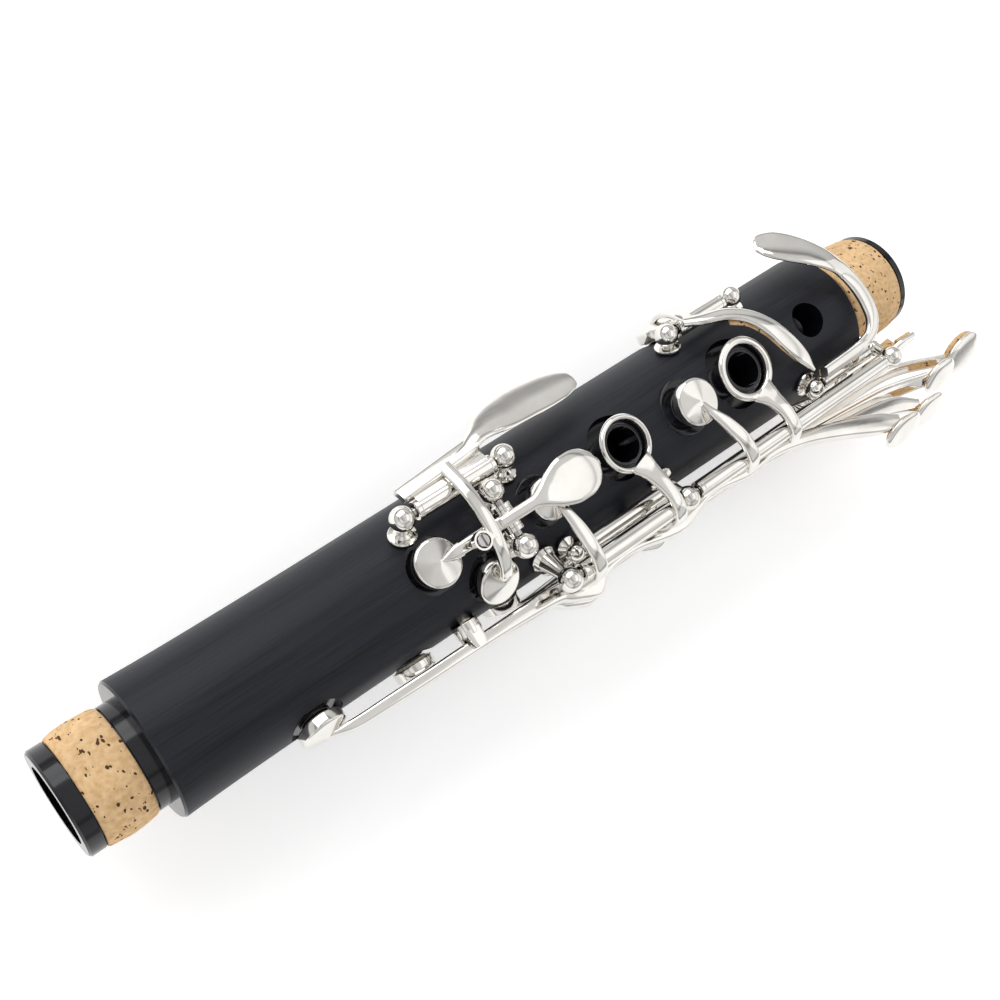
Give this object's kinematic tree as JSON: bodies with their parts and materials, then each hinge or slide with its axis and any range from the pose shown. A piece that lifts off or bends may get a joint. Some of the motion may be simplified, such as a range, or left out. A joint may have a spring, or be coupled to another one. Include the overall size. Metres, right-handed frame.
{
  "type": "clarinet upper joint",
  "caption": "Upper joint of a clarinet: a bored dark tube with cork tenons at both ends, finger holes, ring keys, padded keys on rods and posts, and side keys.",
  "frame": {"origin": "on the bore's axis at the end face of the barrel tenon", "axes": "+X along the bore towards the middle tenon, +Z out through the front finger holes, +Y to the player's left"},
  "size_m": [0.2484, 0.0611, 0.0475],
  "materials": {
    "blackwood": "dark wood with fine lengthwise grain, satin outside, glossy on tenons and tone holes",
    "cork": "natural cork, matte",
    "silver": "polished silver plate",
    "steel": "turned steel",
    "pad": "thin skin over felt, matte"
  },
  "bodies": {
    "joint_body": {"body": "blackwood", "barrel_tenon_cork": "cork", "middle_tenon_cork": "cork", "register_tube": "silver", "thumb_tube": "blackwood", "gsharp_post_upper": "silver", "gsharp_post_lower": "silver", "ring_post_upper": "silver", "ring_post_middle": "silver", "ring_post_lower": "silver", "thumb_ring_post": "silver", "csharp_post": "silver", "sliver_post_upper": "silver", "sliver_post_lower": "silver", "a_post_left": "silver", "a_post_right": "silver", "register_post_left": "silver", "register_post_right": "silver", "trill_guide": "silver", "upper_side_saddle": "silver", "lower_side_saddle": "silver", "gsharp_rod": "steel", "ring_rod_upper": "steel", "ring_rod_lower": "steel", "thumb_ring_rod": "steel", "csharp_rod": "steel", "sliver_rod": "steel", "a_rod": "steel", "register_rod": "steel", "upper_side_rod": "steel", "lower_side_rod": "steel"},
    "gsharp_key_body": {"gsharp_key": "silver", "gsharp_pad": "pad", "adjusting_screw": "steel"},
    "a_key_body": {"a_key": "silver", "a_pad": "pad"},
    "first_ring_body": {"first_ring_key": "silver", "first_ring_pad": "pad"},
    "second_ring_body": {"second_ring_key": "silver", "second_ring_pad": "pad"},
    "thumb_ring_body": {"thumb_ring_key": "silver"},
    "csharp_key_body": {"csharp_key": "silver", "csharp_pad": "pad"},
    "sliver_key_body": {"sliver_key": "silver", "sliver_pad": "pad"},
    "register_key_body": {"register_key": "silver", "register_pad": "pad", "register_spring": "steel"},
    "side_key_1_body": {"side_key_1": "silver", "side_pad_1": "pad"},
    "side_key_2_body": {"side_key_2": "silver", "side_pad_2": "pad"},
    "side_key_3_body": {"side_key_3": "silver", "side_pad_3": "pad"},
    "side_key_4_body": {"side_key_4": "silver", "side_pad_4": "pad"}
  },
  "joints": [
    {"name": "gsharp_hinge", "type": "hinge", "parent": "joint_body", "child": "gsharp_key_body", "pos_m": [0.09, 0.01079, 0.017], "axis": [-1, 0, 0], "range_deg": [0, 6], "stiffness_Nm_per_rad": 0.02, "springref_deg": -28.65},
    {"name": "a_hinge", "type": "hinge", "parent": "joint_body", "child": "a_key_body", "pos_m": [0.0963, 0, 0.0193], "axis": [0, 1, 0], "range_deg": [0, 5.5], "stiffness_Nm_per_rad": 0.02, "springref_deg": -28.65},
    {"name": "first_ring_hinge", "type": "hinge", "parent": "joint_body", "child": "first_ring_body", "pos_m": [0.12, -0.0174, 0.016], "axis": [-1, 0, 0], "range_deg": [0, 4.5], "stiffness_Nm_per_rad": 0.02, "springref_deg": -28.65},
    {"name": "second_ring_hinge", "type": "hinge", "parent": "joint_body", "child": "second_ring_body", "pos_m": [0.17, -0.0174, 0.016], "axis": [-1, 0, 0], "range_deg": [0, 4.5], "stiffness_Nm_per_rad": 0.02, "springref_deg": -28.65},
    {"name": "thumb_ring_hinge", "type": "hinge", "parent": "joint_body", "child": "thumb_ring_body", "pos_m": [0.123, -0.0138, 0.0123], "axis": [1, 0, 0], "range_deg": [0, 2.6], "stiffness_Nm_per_rad": 0.02, "springref_deg": -28.65},
    {"name": "csharp_hinge", "type": "hinge", "parent": "joint_body", "child": "csharp_key_body", "pos_m": [0.195, -0.0138, 0.0123], "axis": [-1, 0, 0], "range_deg": [0, 5], "stiffness_Nm_per_rad": 0.02, "springref_deg": -28.65},
    {"name": "sliver_hinge", "type": "hinge", "parent": "joint_body", "child": "sliver_key_body", "pos_m": [0.167, 0.0145, 0.012], "axis": [1, 0, 0], "range_deg": [0, 6], "stiffness_Nm_per_rad": 0.02, "springref_deg": -28.65},
    {"name": "register_hinge", "type": "hinge", "parent": "joint_body", "child": "register_key_body", "pos_m": [0.076, 0, -0.0194], "axis": [0, -1, 0], "range_deg": [0, 5], "stiffness_Nm_per_rad": 0.02, "springref_deg": -28.65},
    {"name": "side_1_hinge", "type": "hinge", "parent": "joint_body", "child": "side_key_1_body", "pos_m": [0.1105, -0.01778, 0.00657], "axis": [0, 0.225, 0.9744], "range_deg": [0, 1.4], "stiffness_Nm_per_rad": 0.02, "springref_deg": -28.65},
    {"name": "side_2_hinge", "type": "hinge", "parent": "joint_body", "child": "side_key_2_body", "pos_m": [0.1105, -0.01886, 0.00189], "axis": [0, 0.225, 0.9744], "range_deg": [0, 1.3], "stiffness_Nm_per_rad": 0.02, "springref_deg": -28.65},
    {"name": "side_3_hinge", "type": "hinge", "parent": "joint_body", "child": "side_key_3_body", "pos_m": [0.1365, -0.01868, -0.0032], "axis": [0, -0.2924, 0.9563], "range_deg": [0, 2.2], "stiffness_Nm_per_rad": 0.02, "springref_deg": -28.65},
    {"name": "side_4_hinge", "type": "hinge", "parent": "joint_body", "child": "side_key_4_body", "pos_m": [0.1365, -0.01728, -0.00779], "axis": [0, -0.2924, 0.9563], "range_deg": [0, 2.4], "stiffness_Nm_per_rad": 0.02, "springref_deg": -28.65}
  ],
  "couplings": [
    {"joint": "first_ring_hinge", "follows": "thumb_ring_hinge", "ratio": 1.7}
  ]
}
